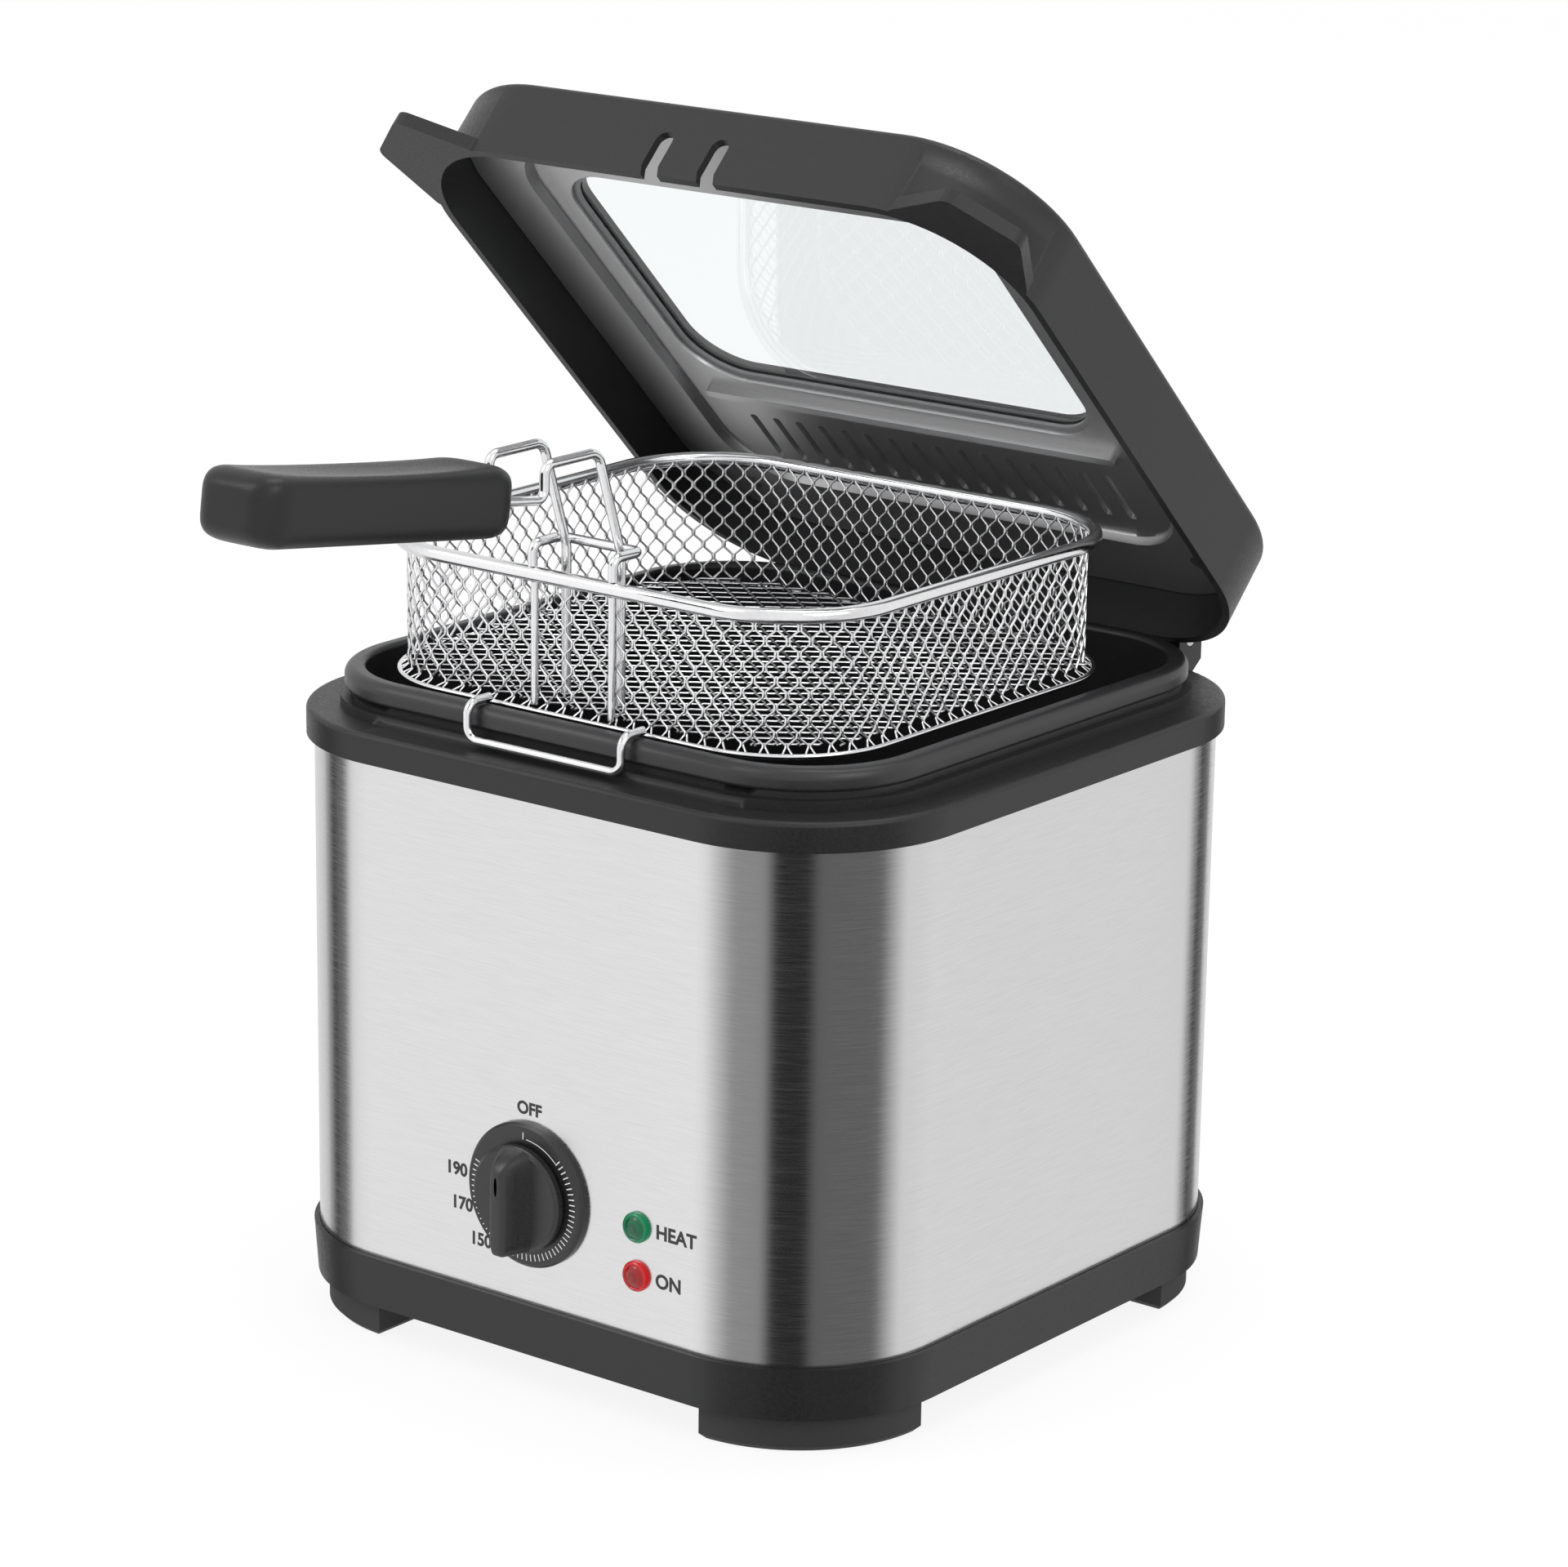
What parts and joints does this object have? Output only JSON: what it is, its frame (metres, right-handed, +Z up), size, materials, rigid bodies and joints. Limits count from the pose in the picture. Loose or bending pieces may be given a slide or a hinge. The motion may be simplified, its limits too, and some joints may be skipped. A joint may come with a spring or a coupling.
{
  "type": "deep fryer",
  "caption": "Square deep fryer with a brushed steel body, black collar and base, hinged lid with a window, wire basket with a handle, and a thermostat knob.",
  "frame": {"origin": "middle of the object's box, on the table", "axes": "+Z up, -Y towards the basket handle and the controls, +X to the right seen from the front"},
  "size_m": [0.2116, 0.3235, 0.3339],
  "materials": {
    "steel_shell": "horizontally brushed",
    "black_plastic": "satin",
    "pot_coating": "non-stick coating",
    "chrome_wire": "polished wire",
    "window_glass": "clear",
    "gasket_rubber": "grey silicone",
    "lid_lining": "satin grey",
    "filter_mesh": "fine mesh",
    "screw_steel": "plated",
    "lens_green": "translucent",
    "lens_red": "translucent",
    "heater_alloy": "cast",
    "element_steel": "satin",
    "pale_plastic": "moulded",
    "foot_rubber": "matte"
  },
  "bodies": {
    "root": {"outer_shell": "steel_shell", "base_tray": "black_plastic", "foot_front_left": "foot_rubber", "foot_front_right": "foot_rubber", "foot_rear_left": "foot_rubber", "foot_rear_right": "foot_rubber", "top_collar": "black_plastic", "oil_pot": "pot_coating", "dial_ring": "black_plastic", "lamp_lens_green": "lens_green", "lamp_lens_red": "lens_red", "cord_gland": "black_plastic", "drain_hook": "chrome_wire", "tie_screws": "screw_steel", "hinge_pins": "screw_steel", "thermostat_body": "pale_plastic", "heater_plate": "heater_alloy", "heating_element": "element_steel", "sensor_bulb": "element_steel", "heat_shield": "element_steel", "terminal_block": "pale_plastic"},
    "lid": {"lid_cover": "black_plastic", "lid_inner_panel": "lid_lining", "lid_window": "window_glass", "window_gasket": "gasket_rubber", "steam_filter": "filter_mesh", "lid_screws": "screw_steel"},
    "basket": {"basket_rim": "chrome_wire", "basket_base_wire": "chrome_wire", "basket_net_front": "chrome_wire", "basket_net_rear": "chrome_wire", "basket_net_left": "chrome_wire", "basket_net_right": "chrome_wire", "basket_net_floor": "chrome_wire", "basket_net_corners": "chrome_wire", "basket_straps": "chrome_wire", "handle_retainer": "chrome_wire", "handle_wires": "chrome_wire", "handle_grip": "black_plastic"},
    "knob": {"thermostat_knob": "black_plastic", "thermostat_shaft": "screw_steel"}
  },
  "joints": [
    {"name": "lid_hinge", "type": "hinge", "parent": "root", "child": "lid", "pos_m": [0, 0.1545, 0.1783], "axis": [-1, 0, 0], "range_deg": [-44.8, 45.2]},
    {"name": "basket_lift", "type": "slide", "parent": "root", "child": "basket", "axis": [0, 0, 1], "range_m": [-0.0701, 0.0708]},
    {"name": "knob_turn", "type": "hinge", "parent": "root", "child": "knob", "pos_m": [0, -0.0565, 0.0555], "axis": [0, 1, 0], "range_deg": [0, 280]}
  ],
  "couplings": [
    {"joint": "basket_lift", "follows": "lid_hinge", "m_per_rad": 0.089525}
  ]
}
